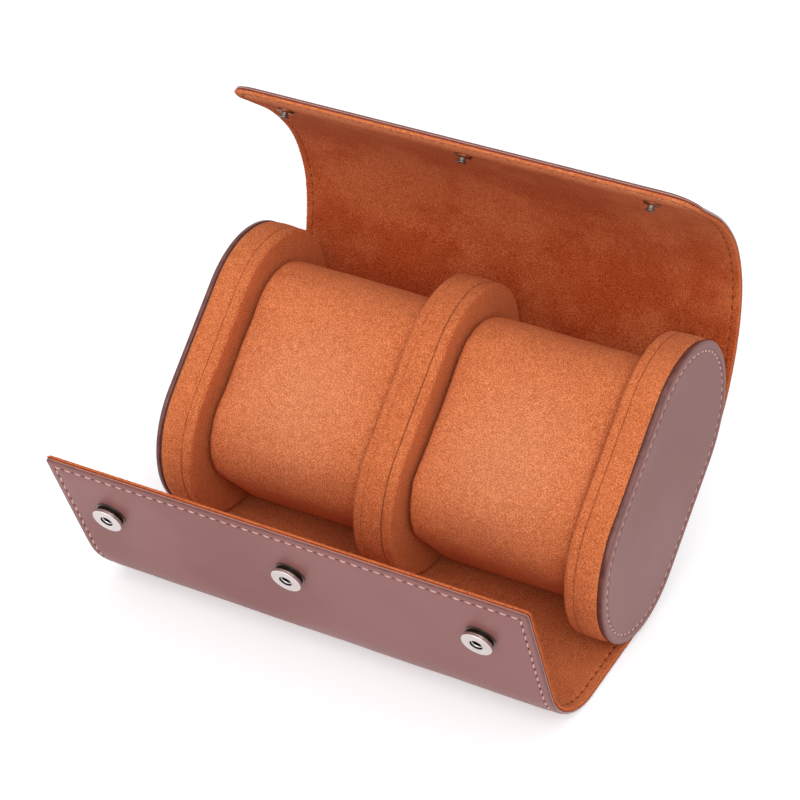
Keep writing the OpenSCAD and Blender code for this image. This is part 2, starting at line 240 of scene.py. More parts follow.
def ring_faces(rings, count):
    """Faces of a closed solid made of rings of points: walls between the rings, and two caps."""
    faces = []
    for i in range(rings - 1):
        for j in range(count):
            a, b = i * count + j, i * count + (j + 1) % count
            faces.append((a, b, b + count, a + count))
    last = (rings - 1) * count
    return [*faces, tuple(range(count))[::-1], tuple(range(last, last + count))]


def mark_sharp(obj, angle):
    """Edges that turn by more than angle degrees stay crisp."""
    obj.data.set_sharp_from_angle(angle=math.radians(angle))


# ---- materials ----


def linear(r, g, b):
    """A colour given as it looks on screen, 0 to 255, as linear values."""
    c = np.array([r, g, b]) / 255
    return (*np.where(c <= 0.04045, c / 12.92, ((c + 0.055) / 1.055) ** 2.4), 1)


class Nodes:
    """Short names for the nodes of one material or world."""

    def __init__(self, owner):
        owner.use_nodes = True
        self.owner = owner
        self.tree = owner.node_tree

    def link(self, source, target):
        self.tree.links.new(source, target)

    def feed(self, node, values):
        """Sets a node's sockets to numbers and colours, or links them."""
        for name, value in values.items():
            socket = node.inputs[name.replace("_", " ") if isinstance(name, str) else name]
            if isinstance(value, (int, float, tuple)):
                socket.default_value = value
            else:
                self.link(value, socket)

    def make(self, kind, **values):
        node = self.tree.nodes.new("ShaderNode" + kind)
        self.feed(node, values)
        return node

    def place(self):
        return self.make("TexCoord").outputs["Object"]

    def noise(self, place, scale, detail=3.0, roughness=0.5):
        node = self.make("TexNoise", Vector=place, Scale=scale, Detail=detail, Roughness=roughness)
        return node.outputs["Fac"]

    def attribute(self, name):
        node = self.make("Attribute")
        node.attribute_name = name
        return node.outputs["Fac"]

    def spread(self, value, low, high, to_low=0.0, to_high=1.0):
        """Runs smoothly from to_low at low to to_high at high."""
        node = self.make(
            "MapRange", Value=value, From_Min=low, From_Max=high, To_Min=to_low, To_Max=to_high
        )
        node.interpolation_type = "SMOOTHSTEP"
        return node.outputs["Result"]

    def math(self, kind, a, b):
        node = self.make("Math")
        node.operation = kind
        self.feed(node, {0: a, 1: b})
        return node.outputs[0]

    def off(self, value, mark):
        """How far a value is from a mark."""
        return self.math("ABSOLUTE", self.math("SUBTRACT", value, mark), 0)

    def mix(self, share, a, b):
        node = self.make("Mix")
        node.data_type = "RGBA"
        self.feed(node, {0: share, 6: a, 7: b})
        return node.outputs[2]

    def bump(self, height, distance, strength, **below):
        node = self.make("Bump", Height=height, Distance=distance * MM, Strength=strength, **below)
        return node.outputs["Normal"]

    def seen_or_mirrored(self):
        """1 for what the camera sees directly, in a mirror or through glass."""
        path = self.make("LightPath").outputs
        seen = path["Is Camera Ray"]
        for more in ("Is Glossy Ray", "Is Transmission Ray"):
            seen = self.math("MAXIMUM", seen, path[more])
        return seen

    def finish(self, **values):
        """Sets or links the shader's sockets by name, and gives the material."""
        self.feed(self.tree.nodes["Principled BSDF"], values)
        return self.owner


def material_nodes(name):
    return Nodes(bpy.data.materials.new(name))


# Scales of noise and cells are per metre, so 1000 means features of about a millimetre.

LEATHER_TONE = linear(142, 91, 88)
LEATHER_DEEP = linear(127, 77, 73)
# The end panels' leather: a slightly darker copy of the flap's, as painted shade.
END_SHADED_TONE = linear(138, 90, 86)
END_SHADED_DEEP = linear(125, 78, 73)
# Painted shade in the pressed stitch groove.
GROOVE_SHADE = linear(116, 70, 66)
# Painted shade in the crease just in from the edge.
CREASE_SHADE = linear(98, 58, 54)
PAINT_TONE = linear(112, 64, 60)
PAINT_DEEP = linear(88, 50, 48)
# Painted highlight along the leather's rounded edge, next to the lining.
PAINT_HIGHLIGHT = linear(214, 150, 136)
STITCH_INSET = 2.6
CREASE_INSET = 0.62
HIGHLIGHT_LINE = 0.1  # how far the painted highlight line on the edge lies past the outline, on the back
CLOUD_SCALE = 14
GRAIN_SCALE = 1500
PORE_SCALE = 3200
PAINT_SCALE = 300
PAINT_ROUGH = 0.3


def leather_material(name, pale, deep):
    """Smooth mauve leather: fine pebbled grain, faint clouds, painted cut edges, painted shade in
    its stitch groove and edge crease, and a painted highlight on the edge.
    """
    n = material_nodes(name)
    place = n.place()
    rim = n.attribute("rim")
    clouds = n.spread(n.noise(place, CLOUD_SCALE, 3, 0.5), 0.3, 0.7)
    tone = n.mix(n.spread(clouds, 0, 1, 0.2, 0.8), deep, pale)
    grain = n.make("TexVoronoi", Vector=place, Scale=GRAIN_SCALE).outputs["Distance"]
    pores = n.noise(place, PORE_SCALE, 2)
    tone = n.mix(n.spread(grain, 0.05, 0.75, 0.0, 0.16), tone, deep)
    # Painted shade along the pressed stitch groove.
    stitch_line = n.off(rim, STITCH_INSET)
    tone = n.mix(n.spread(stitch_line, 0.1, 0.9, 0.4, 0.0), tone, GROOVE_SHADE)
    # Painted shade in the crease just in from the edge.
    crease = n.off(rim, CREASE_INSET)
    tone = n.mix(n.spread(crease, 0.08, 0.3, 0.5, 0.0), tone, CREASE_SHADE)
    edge = n.mix(n.spread(n.noise(place, PAINT_SCALE, 3), 0.35, 0.7), PAINT_TONE, PAINT_DEEP)
    paint = n.spread(rim, 0.28, 0.46, 1.0, 0.0)
    tone = n.mix(paint, tone, edge)
    # A thin painted highlight line on the rounded edge, on the sheet's back.
    pink = n.off(rim, -HIGHLIGHT_LINE)
    tone = n.mix(n.spread(pink, 0.05, 0.12, 1.0, 0.0), tone, PAINT_HIGHLIGHT)
    grain_bump = n.bump(grain, 0.03, 0.5)
    fine_bump = n.bump(pores, 0.012, 0.5, Normal=grain_bump)
    painted = (PAINT_ROUGH, PAINT_ROUGH, PAINT_ROUGH, 1)
    rough = n.mix(paint, n.spread(clouds, 0, 1, 0.5, 0.43), painted)
    return n.finish(Base_Color=tone, Roughness=rough, Normal=fine_bump, Specular_IOR_Level=0.42)


SUEDE_TONE = linear(214, 112, 62)
SUEDE_DEEP = linear(190, 88, 42)
# Painted shade: the deep, red suede of the shaded lining, and the pale nap within it.
SUEDE_PAINTED_SHADE = linear(141, 42, 12)
# Painted light: the pale suede of lit patches.
SUEDE_PAINTED_LIGHT = linear(238, 158, 118)
NAP_DARK = linear(140, 54, 22)
NAP_PALE = linear(255, 172, 118)
NAP_PALE_IN_SHADE = linear(232, 122, 66)
# Painted shade in the seams' valleys.
SEAM_SHADE = linear(84, 32, 15)
# Painted shade between the lining and the leather.
LAYER_SHADE = linear(112, 44, 28)
SHEEN_TONE = linear(255, 176, 130)
FLECK_SHARE = 0.46
FLECK_SCALE = 2800
CLUMP_SCALE = 1100
BLOTCH_SCALE = 420
STREAK_SCALE = 34
BRUSH_SCALE = 60
SEAM_SCALE = 900
NAP_SCALE = 2100
SOFT_SCALE = 240


def suede_material(name):
    """Suede: a fleck of dark and pale nap, brushed patches, painted shade in seams, at the lining's
    back edge and on the deep lining, and painted light that turns it pale.
    """
    n = material_nodes(name)
    place = n.place()
    rim = n.attribute("rim")
    brushed_nap_and_painted_light = n.spread(n.noise(place, BRUSH_SCALE, 4, 0.6), 0.32, 0.68)
    tone = n.mix(n.spread(brushed_nap_and_painted_light, 0, 1, 0.6, 1.0), SUEDE_DEEP, SUEDE_TONE)
    streak = n.spread(n.noise(place, STREAK_SCALE, 5, 0.65), 0.38, 0.62, 0.55, 1.0)
    # Painted shade, in streaks, on the lining from the floor up and a little on the pads.
    rich = n.math("MULTIPLY", n.attribute("rich"), streak)
    worn = n.attribute("worn")
    tone = n.mix(rich, tone, SUEDE_PAINTED_SHADE)
    # Painted light turns the suede pale at the lid's free edge and on the middle of the cushions'
    # fronts.
    tone = n.mix(n.spread(worn, 0, 1, 0.0, 0.6), tone, SUEDE_PAINTED_LIGHT)
    fleck = n.spread(n.noise(place, FLECK_SCALE, 2, 0.6), 0.36, 0.64)
    pale = n.mix(n.math("SUBTRACT", rich, worn), NAP_PALE, NAP_PALE_IN_SHADE)
    tone = n.mix(FLECK_SHARE, tone, n.mix(fleck, NAP_DARK, pale))
    # Where painted light and painted shade meet, at the lid's free edge, pale clumps of nap.
    clumps = n.spread(n.noise(place, CLUMP_SCALE, 2, 0.6), 0.4, 0.6)
    share = n.math("MULTIPLY", n.math("MULTIPLY", worn, rich), 0.6)
    tone = n.mix(share, tone, n.mix(clumps, SUEDE_DEEP, NAP_PALE))
    blotches = n.spread(n.noise(place, BLOTCH_SCALE, 3, 0.6), 0.35, 0.65)
    tone = n.mix(n.spread(blotches, 0, 1, 0.12, 0.0), tone, NAP_DARK)
    # Painted shade in the seams' valleys, broken by noise.
    broken = n.spread(n.noise(place, SEAM_SCALE, 2, 0.5), 0.3, 0.55, 0.35, 1.0)
    seam = n.math("MULTIPLY", n.attribute("seam"), broken)
    tone = n.mix(seam, tone, SEAM_SHADE)
    tone = n.mix(n.spread(rim, 0.1, 0.6, 0.5, 0.0), tone, SUEDE_TONE)
    # A dark line of painted shade on the lining's back edge, between it and the leather.
    tone = n.mix(n.spread(rim, -0.27, -0.19, 1.0, 0.0), tone, LAYER_SHADE)
    nap_bump = n.bump(n.noise(place, NAP_SCALE, 3, 0.7), 0.4, 0.9)
    soft_bump = n.bump(n.noise(place, SOFT_SCALE, 3), 0.25, 0.35, Normal=nap_bump)
    return n.finish(
        Base_Color=tone,
        Roughness=0.95,
        Normal=soft_bump,
        Specular_IOR_Level=0.12,
        Sheen_Weight=0.18,
        Sheen_Roughness=0.35,
        Sheen_Tint=SHEEN_TONE,
    )


TWIST_SCALE = 2600
STAIN_SCALE = 220
POLISH_SCALE = 900
SCRATCH_SCALE = 2500


def thread_material():
    n = material_nodes("thread")
    twist = n.noise(n.place(), TWIST_SCALE, 2)
    tone = n.mix(n.spread(twist, 0.35, 0.65), linear(186, 140, 134), linear(220, 182, 176))
    return n.finish(Base_Color=tone, Roughness=0.55, Normal=n.bump(twist, 0.05, 0.6))


def matt_material(name, scale, detail, low, high, rough, **more):
    """A dull material whose tone wanders between two colours."""
    n = material_nodes(name)
    tone = n.mix(n.noise(n.place(), scale, detail), linear(*low), linear(*high))
    return n.finish(Base_Color=tone, Roughness=rough, **more)


def metal_material(name, low, high, rough):
    n = material_nodes(name)
    place = n.place()
    return n.finish(
        Base_Color=n.mix(n.noise(place, STAIN_SCALE, 4, 0.6), linear(*low), linear(*high)),
        Metallic=1.0,
        Roughness=n.spread(n.noise(place, POLISH_SCALE, 3), 0.3, 0.7, rough, rough + 0.12),
        Normal=n.bump(n.noise(place, SCRATCH_SCALE, 2), 0.01, 0.4),
    )


LEATHER = leather_material("leather", LEATHER_TONE, LEATHER_DEEP)
# The same leather a little darker for the end panels: painted shade.
END_LEATHER_SHADED = leather_material("end_leather", END_SHADED_TONE, END_SHADED_DEEP)
SUEDE = suede_material("suede")
THREAD = thread_material()
# Thread that has sunk into the nap.
BURIED = matt_material(
    "buried_thread", 1500, 3, (110, 49, 27), (144, 72, 42), 0.9, Specular_IOR_Level=0.1
)
# Painted shade in the needle holes.
HOLE_SHADE = matt_material("needle_hole_shade", 2000, 3, (70, 36, 32), (92, 52, 46), 0.8)
METAL = metal_material("nickel", (198, 190, 188), (222, 216, 214), 0.22)
# Darker copies of the nickel: a darker painted reflection, painted shade for bores and waists, and
# a painted reflection of the suede.
NICKEL_DARK_REFLECTION = metal_material("nickel_dark_reflection", (92, 80, 76), (128, 116, 110), 0.3)
NICKEL_SHADE = metal_material("nickel_shade", (34, 28, 26), (58, 50, 46), 0.4)
NICKEL_SUEDE_REFLECTION = metal_material("nickel_suede_reflection", (112, 64, 46), (146, 88, 64), 0.35)
BOARD = matt_material("board", 700, 4, (62, 34, 24), (84, 48, 34), 0.9)

# ---- wrap panels ----

# Steps in from an outline: fine over the rounded edge and the stitched groove, then wider.
RIM_STEPS = [0, 0.07, 0.18, 0.32, 0.5, 0.66, 0.85, 1.15, 1.55, 1.85, 2.05, 2.25, 2.45, 2.6, 2.75]
RIM_STEPS += [2.95, 3.15, 3.4, 3.8, 4.4, 5.2, 6.0, 7.5, 9.5, 12, 15]
MIDDLE_COLUMNS = 26
ROW_STEP = 0.9
HEEL_ROW_STEP = 0.35
EDGE_REACH = 6.0  # rows follow RIM_STEPS this far in from a free edge
HEEL_REACH = 2.8  # rows are closer this far to either side of the heel
ROW_LEAST = 0.03
LEATHER_EDGE_R = 0.4
LEATHER_BACK_R = 0.15
LINING_EDGE_R = 0.35
LINING_BACK_R = 0.2
LEATHER_GROOVE = (0.3, 0.42)  # depth and width of the pressed stitch line
LINING_GROOVE = (0.3, 0.5)
LEATHER_FULL = 0.12  # how far the leather stands up between its stitches and its edge
LEATHER_SWAY = 0.06
LINING_SWAY = 0.07
PINCH_OVER = 3.0
PINCH = 0.3
PINCH_FACE = 0.1  # of the lining's inner face
BACK_RIM_DROP = 0.3  # what rim is less by on the back of a sheet
# Painted shade on the lining: this share on the floor, rising to all of it from the back wall up.
FLOOR_PAINTED_SHADE = 0.2
PAINTED_SHADE_OVER = 20.0
# The length over which painted light brightens the lining at the lid's free edge.
LID_LIGHT_OVER = 13.0
SHARP_TURN = 50


def edge_drop(d, r):
    """How far a rounded edge has dropped at a distance d in from its outline."""
    inside = np.clip(r - d, 0, r)
    return r - np.sqrt(r * r - inside * inside)


def groove(d, depth, width):
    """How far a sheet's face is pressed in along its stitches."""
    return depth * np.exp(-(((d - STITCH_INSET) / width) ** 2))


def pinch(d, depth):
    """How far a sheet's face is drawn in between its stitches and its cut edge."""
    return depth * (1 - smooth_step(d / PINCH_OVER))


def leather_face(x, s, d):
    """Depth of the leather's outer face: pressed along the stitches, faintly full between them."""
    p = np.stack([x.ravel(), s.ravel()], 1)
    sway = LEATHER_SWAY * waves(p, 38, 11).reshape(x.shape)
    margin = LEATHER_FULL * smooth_step((d - 0.5) / 0.7) * (1 - smooth_step(d - 1.6))
    field = LEATHER_FULL * smooth_step((d - STITCH_INSET) / 4) + sway * smooth_step((d - 4) / 12)
    drawn = groove(d, *LEATHER_GROOVE) + edge_drop(d, LEATHER_EDGE_R) + pinch(d, PINCH)
    return full_depth(s) - LEATHER_FULL + margin + field - drawn


def leather_back(x, s, d):
    return LINING_T + edge_drop(d, LEATHER_BACK_R) + pinch(d, PINCH)


def lining_face(x, s, d):
    """Depth of the lining's inner face: pressed along the stitches and soft between them."""
    p = np.stack([x.ravel(), s.ravel()], 1)
    sway = LINING_SWAY * (1 + waves(p, 24, 5).reshape(x.shape)) * smooth_step((d - 4) / 9)
    pressed = edge_drop(d, LINING_EDGE_R) + groove(d + LINING_INSET, *LINING_GROOVE)
    return pressed + sway + pinch(d, PINCH_FACE)


def lining_back(x, s, d):
    return LINING_T - edge_drop(d, LINING_BACK_R) + pinch(d, PINCH)


def panel_rows(low, high, half):
    """Where a panel's rows lie between two places on the path: finer at free edges and the heel."""
    count = max(2, round((high - low) / ROW_STEP))
    rows = list(np.linspace(low, high, count + 1))
    heel = (ROUND_START + ROUND_END) / 2
    if low < heel < high:
        rows += list(np.arange(heel - HEEL_REACH, heel + HEEL_REACH, HEEL_ROW_STEP))
    trim = TIP_TRIM + WRAP_HALF - half
    for tip, way, r, here in (
        (trim, 1, FLAP_CORNER_R, low < 1),
        (WRAP_LEN - trim, -1, LID_CORNER_R, high > WRAP_LEN - 1),
    ):
        if here:
            rows = [s for s in rows if (s - tip) * way > EDGE_REACH + 0.2]
            rows += [tip + way * step for step in RIM_STEPS if step <= EDGE_REACH]
            turn = np.radians(np.arange(9, 90, 6))
            rows += list(tip + way * r * (1 - np.cos(turn)))
    rows = np.unique(np.round(rows, 4))
    return rows[np.concatenate([[True], np.diff(rows) > ROW_LEAST])]


TUFT_GAP = 0.28
TUFT_LEN = (0.3, 1.0)
TUFT_R = 0.1
TUFT_ROOT = 0.15  # how deep a fibre's foot sits in the sheet
TUFT_LEVEL = (0.35, 0.95)  # where between the lining's two faces a fibre starts
TUFT_SPLAY = 0.5
TUFT_RISE = (-0.05, 0.45)  # mean and spread of its climb, as a share of its length
TUFT_ROOM = (0.12, 1.2)  # the depths that its tip stays between


def tufts(x, s, d, loop):
    """Fibres that stand out of a sheet's cut edge: thin closed spikes, as points and faces."""
    x, s, d = x.ravel(), s.ravel(), d.ravel()
    after = np.roll(loop, -1)
    edge = (d[loop] < 0.01) & (d[after] < 0.01)
    start = np.stack([x[loop], s[loop]], 1)[edge]
    step = np.stack([x[after], s[after]], 1)[edge] - start
    run = np.hypot(*step.T)
    rng = np.random.default_rng(int(s.min()) + 5)
    which = np.repeat(np.arange(len(run)), np.ceil(run / TUFT_GAP).astype(int))
    n = len(which)
    along = (step / run[:, None])[which]
    out = np.stack([along[:, 1], -along[:, 0]], 1)
    root = start[which] + rng.random((n, 1)) * step[which]
    level = rng.uniform(*TUFT_LEVEL, n)
    reach = rng.uniform(*TUFT_LEN, n)
    tip = root + out * reach[:, None] + along * (rng.normal(0, TUFT_SPLAY, n) * reach)[:, None]
    rise = np.clip(level + rng.normal(*TUFT_RISE, n) * reach, *TUFT_ROOM)
    corners = []
    for turn in np.radians([0, 120, 240]):
        foot = root - out * TUFT_ROOT + along * TUFT_R * math.cos(turn)
        corners.append(on_wrap(foot[:, 0], foot[:, 1], level + TUFT_R * math.sin(turn)))
    corners.append(on_wrap(tip[:, 0], tip[:, 1], rise))
    points = np.stack(corners, 1).reshape(-1, 3)
    base = 4 * np.arange(n)[:, None]
    shape = np.array([[0, 2, 1], [0, 1, 3], [1, 2, 3], [2, 0, 3]])
    return points, (base[:, :, None] + shape).reshape(-1, 3)


def sheet_panel(name, low, high, half, front, back, material):
    """One panel of a sheet: a front and a back face on the same grid, and walls round them."""
    rows = panel_rows(low, high, half)
    widths = row_half(rows, half)
    rim = np.array(RIM_STEPS)
    middle = np.linspace(-1, 1, MIDDLE_COLUMNS)[1:-1]
    x = np.stack(
        [np.concatenate([rim - w, middle * (w - rim[-1]), (w - rim)[::-1]]) for w in widths]
    )
    s = np.repeat(rows[:, None], x.shape[1], 1)
    d = rim_distance(x, s, half)
    m, n = x.shape
    points = [on_wrap(x, s, depth(x, s, d)).reshape(-1, 3) for depth in (front, back)]
    points = np.concatenate(points)
    inward = front is lining_face
    faces = []
    grid = np.arange(m * n).reshape(m, n)
    for layer, flip in ((grid, inward), (grid + m * n, not inward)):
        quads = np.stack([layer[:-1, :-1], layer[:-1, 1:], layer[1:, 1:], layer[1:, :-1]], -1)
        quads = quads.reshape(-1, 4)
        faces.append(quads[:, ::-1] if flip else quads)
    loop = np.concatenate([grid[0, :-1], grid[:-1, -1], grid[-1, :0:-1], grid[:0:-1, 0]])
    after = np.roll(loop, -1)
    walls = np.stack([after, loop, loop + m * n, after + m * n], -1)
    faces.append(walls[:, ::-1] if inward else walls)
    faces = np.concatenate(faces).tolist()
    if inward:
        more, more_faces = tufts(x, s, d, loop)
        faces += (more_faces + len(points)).tolist()
        points = np.concatenate([points, more])
    obj = make_object(name, points, faces, [material])
    tuft_zeros = np.zeros(len(points) - 2 * m * n)
    # Painted light near the lid's free edge.
    worn = smooth_step(1 - (WRAP_LEN - s) / LID_LIGHT_OVER).ravel()
    # Painted shade: light on the floor, full from the back wall up over the lid.
    rich = FLOOR_PAINTED_SHADE + (1 - FLOOR_PAINTED_SHADE) * smooth_step((s - ROUND_END) / PAINTED_SHADE_OVER).ravel()
    add_attributes(
        obj,
        rim=np.concatenate([d.ravel(), d.ravel() - BACK_RIM_DROP, tuft_zeros]),
        seam=np.zeros(len(points)),
        worn=np.concatenate([worn, worn, tuft_zeros]),
        rich=np.concatenate([rich, rich, tuft_zeros]),
    )
    mark_sharp(obj, SHARP_TURN)
    return obj


# ---- stitches ----

WRAP_PITCH = 3.6
STITCH_LEN = 2.1
STITCH_MOST = 0.72  # of the pitch
STITCH_R = 0.32
STITCH_SLANT = math.radians(9)
STITCH_ARCH = 0.16
STITCH_SINK = 0.08
STITCH_FLATTEN = 0.62
HOLE_R = 0.3
HOLE_NARROW = 0.8
HOLE_ENDS = (0.05, -0.3)
THREAD_SEAT = 0.3  # the middle of a thread lies this far in from the leather's full face
BURIED_SEAT = 0.34
TANGENT_REACH = 0.4


def stitch_outline():
    """Points and directions of the stitches round the wrap, as x, s and angle."""
    half = WRAP_HALF - STITCH_INSET
    low = TIP_TRIM + STITCH_INSET
    high = WRAP_LEN - low
    r = LID_CORNER_R - STITCH_INSET
    turn = np.radians(np.arange(0, 91, 5))
    right = np.stack([half - r + r * np.cos(turn), high - r + r * np.sin(turn)], 1)
    left = np.stack([-(half - r) - r * np.sin(turn), high - r + r * np.cos(turn)], 1)
    line = np.concatenate([[[half, low]], right, left, [[-half, low]], [[half, low]]])
    return spaced(line, WRAP_PITCH)


def spaced(line, pitch):
    """Even places along a closed line, with the line's direction at each."""
    run = running(np.linalg.norm(np.diff(line, axis=0), axis=1))
    count = round(run[-1] / pitch)
    at = (np.arange(count) + 0.5) * run[-1] / count

    def point(t):
        t = t % run[-1]
        return np.stack([np.interp(t, run, line[:, k]) for k in range(2)], 1)

    ahead = point(at + TANGENT_REACH) - point(at - TANGENT_REACH)
    return point(at), np.arctan2(ahead[:, 1], ahead[:, 0]), run[-1] / count


def capsule(length, radius, segments=8, rings=9):
    """A stitch lying along its first axis: along, across and height, with its ends sunk."""
    t = np.linspace(-1, 1, rings)
    r = radius * np.sqrt(np.maximum(1 - t**6, 0.02))
    turn = 2 * math.pi * np.arange(segments) / segments
    points = []
    for a, ring in zip(t, r):
        for b in turn:
            height = STITCH_FLATTEN * ring * math.sin(b) + STITCH_ARCH * (1 - a * a) - STITCH_SINK
            points.append((a * length / 2, ring * math.cos(b), height))
    return np.array(points), ring_faces(rings, segments)


def needle_hole_shade(segments=8):
    """A small dimple between two stitches, dark with painted shade."""
    turn = 2 * math.pi * np.arange(segments) / segments
    outline = [(HOLE_R * math.cos(b), HOLE_R * HOLE_NARROW * math.sin(b)) for b in turn]
    points = [(*at, height) for height in HOLE_ENDS for at in outline]
    return np.array(points), [face[::-1] for face in ring_faces(2, segments)]


def stitched(name, places, angles, gap, to_surface, sides=(1, -1)):
    """Threads and needle holes at the given places. to_surface maps (u, v, height, side).

    With both sides, side -1 is the lining's, where thread and hole are buried in the nap.
    """
    thread, thread_faces = capsule(min(STITCH_LEN, gap * STITCH_MOST), STITCH_R)
    hole, hole_faces = needle_hole_shade()
    points, faces, kinds = [], [], []
    count = 0
    for side in sides:
        buried = side < 0 and len(sides) > 1
        for (u, v), angle in zip(places, angles):
            for shape, shape_faces, kind, shift, slant in (
                (thread, thread_faces, 0, 0.0, STITCH_SLANT * side),
                (hole, hole_faces, 1, gap / 2, 0.0),
            ):
                c, w = math.cos(angle + slant), math.sin(angle + slant)
                du = shift * math.cos(angle) + shape[:, 0] * c - shape[:, 1] * w
                dv = shift * math.sin(angle) + shape[:, 0] * w + shape[:, 1] * c
                points.append(to_surface(u + du, v + dv, shape[:, 2], side))
                for f in shape_faces:
                    g = tuple(i + count for i in f)
                    faces.append(g[::-1] if side < 0 else g)
                    kinds.append(2 if buried else kind)
                count += len(shape)
    return make_object(name, np.concatenate(points), faces, [THREAD, HOLE_SHADE, BURIED], kinds)


def thread_on_wrap(x, s, height, side):
    """Side 1 is the leather and side -1 the lining."""
    if side > 0:
        depth = full_depth(s) - THREAD_SEAT + height
    else:
        depth = BURIED_SEAT - height
    return on_wrap(x, s, depth)


def mid(i):
    """The middle of stretch i on the path."""
    return (ENDS[i] + ENDS[i + 1]) / 2


FLAP_SEAM = 26.0
LID_SEAM = WRAP_LEN - 16.0
BACK_LOW = ENDS[4] + 3.5
BACK_HIGH = ENDS[8] - 5.5
# Name, start and end on the path, and the one or two bodies that the panel spans; it rides only a
# lone one.
PANELS = [
    ("flap_edge", 0, FLAP_SEAM, ["flap_front"]),
    ("flap_front", FLAP_SEAM, mid(1), ["flap_front", "flap_bend"]),
    ("flap_bend", mid(1), mid(2), ["flap_bend", "flap_floor"]),
    ("flap_floor", mid(2), mid(3), ["flap_floor", "flap_root"]),
    ("flap_root", mid(3), BACK_LOW, ["flap_root", "case"]),
    ("back", BACK_LOW, BACK_HIGH, ["case"]),
    ("lid_root", BACK_HIGH, mid(8), ["case", "lid_root"]),
    ("lid_lower", mid(8), mid(9), ["lid_root", "lid_lower"]),
    ("lid_middle", mid(9), mid(10), ["lid_lower", "lid_middle"]),
    ("lid_upper", mid(10), mid(11), ["lid_middle", "lid_upper"]),
    ("lid_fold", mid(11), LID_SEAM, ["lid_upper", "lid_edge"]),
    ("lid_edge", LID_SEAM, WRAP_LEN, ["lid_edge"]),
]


def node_of(body, layer):
    """The CAD node that holds one layer of one body's stretch."""
    return f"{'back' if body == 'case' else body}_{layer}"


def follow(obj, bodies, low, high):
    """Rides one body; a panel between two bodies rides neither."""
    if len(bodies) == 1:
        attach(obj, bodies[0])
        return
    start, end = on_wrap(0.0, np.array([low, high]), WRAP_T / 2) * MM
    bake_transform(obj)


def build_wrap():
    places, angles, gap = stitch_outline()
    for name, low, high, bodies in PANELS:
        shell = sheet_panel(
            f"{name}_shell", low, high, WRAP_HALF, leather_face, leather_back, LEATHER
        )
        lining = sheet_panel(
            f"{name}_suede", low, high, WRAP_HALF - LINING_INSET, lining_face, lining_back, SUEDE
        )
        here = (places[:, 1] >= low) & (places[:, 1] < high)
        threads = stitched(f"{name}_stitches", places[here], angles[here], gap, thread_on_wrap)
        for obj, slot in ((shell, "leather"), (lining, "suede"), (threads, "leather")):
            follow(obj, bodies, low, high)
        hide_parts(*[node_of(b, "leather") for b in bodies])
        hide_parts(*[node_of(b, "lining") for b in bodies])


# ---- walls ----

RIM_GAP = 0.2
PLATE_R = ROUND_R - RIM_GAP
PLATE_CORE = PLATE_R - 3  # where a plate's innermost rings lie, in from its outline
END_LEATHER_T = 1.4
END_BOARD_T = 1.6
END_BAND_T = 6.6
END_FACE_T = 3.4
DIVIDER_BAND_T = 7.0
DIVIDER_FACE_T = 3.3
ARC_POINTS = 40
STRAIGHT_POINTS = 18
PLATE_SHARP_TURN = 60
SEAM_REACH = 0.32
SEAM_DEEPEST = 4  # in from the outline, so that no seam runs over a face
NO_RIM = 9.0  # rim where a piece has no cut edge
END_RIM_SHIFT = 0.1  # keeps the painted highlight line off the end panels
# A little painted shade on the wall pads.
PAD_PAINTED_SHADE = 0.15
PAD_SWAY = 0.12
FACE_INSET = 0.1
BAND_CROWN = 0.15
END_STITCH_INSET = 3.2
END_STITCH_PITCH = 3.1
END_RISE = 0.32  # how far the padded leather stands past the wall's outer face
END_GROOVE = (0.42, 0.36)
END_THREAD_SEAT = 0.06


def in_case(x, u, v):
    """Points from the walls' own frame: u up the leaning back, v out of the open side."""
    c, w = math.cos(math.radians(LEAN)), math.sin(math.radians(LEAN))
    return np.stack(np.broadcast_arrays(x, u * c - v * w, AXIS_Z + u * w + v * c), -1)


def stadium(radius):
    """The outline of a round-ended plate, and its outward directions, as (u, v) pairs."""
    low = np.radians(np.linspace(90, 270, ARC_POINTS + 1))
    high = np.radians(np.linspace(-90, 90, ARC_POINTS + 1))
    way = np.concatenate([low, high])
    direction = np.stack([np.cos(way), np.sin(way)], 1)
    centre = np.zeros_like(direction)
    centre[ARC_POINTS + 1 :, 0] = WALL_STRAIGHT
    run = np.linspace(0, WALL_STRAIGHT, STRAIGHT_POINTS + 1)[1:-1]
    under = np.stack([run, np.zeros_like(run)], 1)
    over = under[::-1]
    down = np.tile([0.0, -1.0], (len(run), 1))
    direction = np.concatenate(
        [direction[: ARC_POINTS + 1], down, direction[ARC_POINTS + 1 :], -down]
    )
    centre = np.concatenate([centre[: ARC_POINTS + 1], under, centre[ARC_POINTS + 1 :], over])
    return centre, direction, centre + radius * direction


